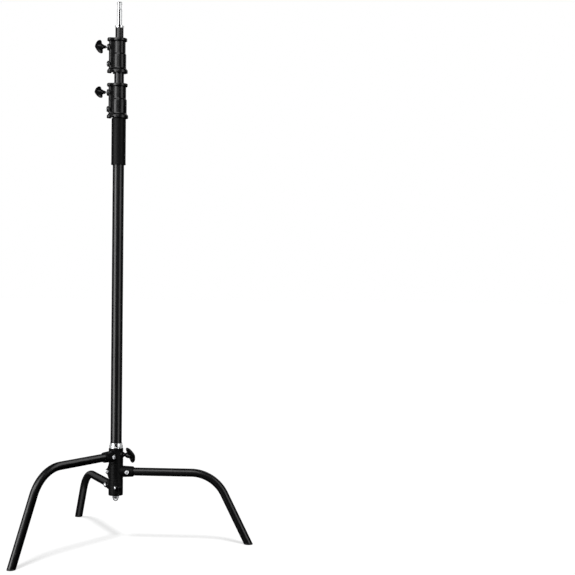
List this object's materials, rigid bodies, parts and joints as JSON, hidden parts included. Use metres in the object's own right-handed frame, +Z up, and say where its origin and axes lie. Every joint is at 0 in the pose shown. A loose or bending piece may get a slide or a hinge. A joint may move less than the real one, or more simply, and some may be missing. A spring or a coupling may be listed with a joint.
{
  "type": "c stand",
  "caption": "Tall black light stand with telescoping risers, clamp collars with T-shaped knobs, bent folding legs on a turning hub, and a round mounting pin on top.",
  "frame": {"origin": "on the floor, at the middle of the box round the feet; the column's axis stands beside it at x = -0.1004, y = 0.0151", "axes": "+Z up along the column; +X from the column towards the foot of the leg on the middle casting"},
  "size_m": [0.6611, 0.7485, 1.68],
  "materials": {
    "black_tube": "semi-gloss black powder coat",
    "black_casting": "satin black powder coat over a casting",
    "black_handle": "gloss black enamel",
    "black_foam": "matt, fine-pored",
    "black_plastic": "moulded, matt",
    "black_nylon": "moulded, smooth",
    "chrome": "polished chrome plate",
    "zinc_plated_steel": "bright zinc plate",
    "brass": "plain turned brass"
  },
  "bodies": {
    "base": {"receiver_tube": "chrome", "base_plug": "zinc_plated_steel", "centre_bolt": "zinc_plated_steel", "end_washer": "black_casting", "spring_washer": "zinc_plated_steel", "domed_nut": "chrome", "lower_thrust_washer": "black_nylon", "upper_thrust_washer": "black_nylon", "top_leg_casting": "black_casting", "top_casting_set_screw": "zinc_plated_steel", "top_leg_tube": "black_tube", "top_leg_foot": "black_plastic", "top_leg_bolt": "zinc_plated_steel", "top_leg_nut": "zinc_plated_steel"},
    "middle_leg": {"middle_leg_casting": "black_casting", "middle_leg_tube": "black_tube", "middle_leg_foot": "black_plastic", "middle_leg_bolt": "zinc_plated_steel", "middle_leg_nut": "zinc_plated_steel", "middle_pinch_bolt": "zinc_plated_steel"},
    "bottom_leg": {"bottom_leg_casting": "black_casting", "bottom_leg_tube": "black_tube", "bottom_leg_foot": "black_plastic", "bottom_leg_bolt": "zinc_plated_steel", "bottom_leg_nut": "zinc_plated_steel", "bottom_pinch_bolt": "zinc_plated_steel"},
    "base_shoe": {"base_brake_shoe": "brass"},
    "base_handle": {"base_clamp_screw": "zinc_plated_steel", "base_t_handle": "black_handle"},
    "column": {"column_tube": "black_tube", "column_end_plug": "black_nylon", "grip_sleeve": "black_foam", "lower_collar": "black_casting", "lower_collar_bush": "black_nylon", "lower_collar_bolt": "zinc_plated_steel"},
    "lower_shoe": {"lower_brake_shoe": "brass"},
    "lower_handle": {"lower_clamp_screw": "zinc_plated_steel", "lower_t_handle": "black_handle"},
    "middle_riser": {"middle_riser_tube": "black_tube", "middle_riser_guide": "black_nylon", "upper_collar": "black_casting", "upper_collar_bush": "black_nylon", "upper_collar_bolt": "zinc_plated_steel"},
    "upper_shoe": {"upper_brake_shoe": "brass"},
    "upper_handle": {"upper_clamp_screw": "zinc_plated_steel", "upper_t_handle": "black_handle"},
    "top_riser": {"top_riser_tube": "black_tube", "top_riser_guide": "black_nylon", "spigot": "chrome"}
  },
  "joints": [
    {"name": "middle_leg_swing", "type": "hinge", "parent": "base", "child": "middle_leg", "pos_m": [-0.10039, 0.01514, 0.219], "axis": [0, 0, 1], "range_deg": [-110, 0]},
    {"name": "bottom_leg_swing", "type": "hinge", "parent": "base", "child": "bottom_leg", "pos_m": [-0.10039, 0.01514, 0.1692], "axis": [0, 0, 1], "range_deg": [0, 110]},
    {"name": "column_lift_out", "type": "slide", "parent": "base", "child": "column", "axis": [0, 0, 1], "range_m": [0, 0.138]},
    {"name": "middle_riser_slide", "type": "slide", "parent": "column", "child": "middle_riser", "axis": [0, 0, 1], "range_m": [0, 0.8]},
    {"name": "top_riser_slide", "type": "slide", "parent": "middle_riser", "child": "top_riser", "axis": [0, 0, 1], "range_m": [0, 0.8]},
    {"name": "base_shoe_slide", "type": "slide", "parent": "base", "child": "base_shoe", "axis": [0.9272, -0.3746, 0], "range_m": [0, 0.0025]},
    {"name": "base_handle_turn", "type": "hinge", "parent": "base_shoe", "child": "base_handle", "pos_m": [-0.05403, -0.00359, 0.2728], "axis": [0.9272, -0.3746, 0], "range_deg": [0, 720]},
    {"name": "lower_shoe_slide", "type": "slide", "parent": "column", "child": "lower_shoe", "axis": [-0.9397, -0.342, 0], "range_m": [0, 0.003]},
    {"name": "lower_handle_turn", "type": "hinge", "parent": "lower_shoe", "child": "lower_handle", "pos_m": [-0.14737, -0.00196, 1.398], "axis": [-0.9397, -0.342, 0], "range_deg": [0, 720]},
    {"name": "upper_shoe_slide", "type": "slide", "parent": "middle_riser", "child": "upper_shoe", "axis": [-0.9397, -0.342, 0], "range_m": [0, 0.003]},
    {"name": "upper_handle_turn", "type": "hinge", "parent": "upper_shoe", "child": "upper_handle", "pos_m": [-0.14737, -0.00196, 1.5385], "axis": [-0.9397, -0.342, 0], "range_deg": [0, 720]}
  ],
  "couplings": [
    {"joint": "base_shoe_slide", "follows": "base_handle_turn", "m_per_rad": 0.0001987},
    {"joint": "lower_shoe_slide", "follows": "lower_handle_turn", "m_per_rad": 0.0002385},
    {"joint": "upper_shoe_slide", "follows": "upper_handle_turn", "m_per_rad": 0.0002385}
  ]
}
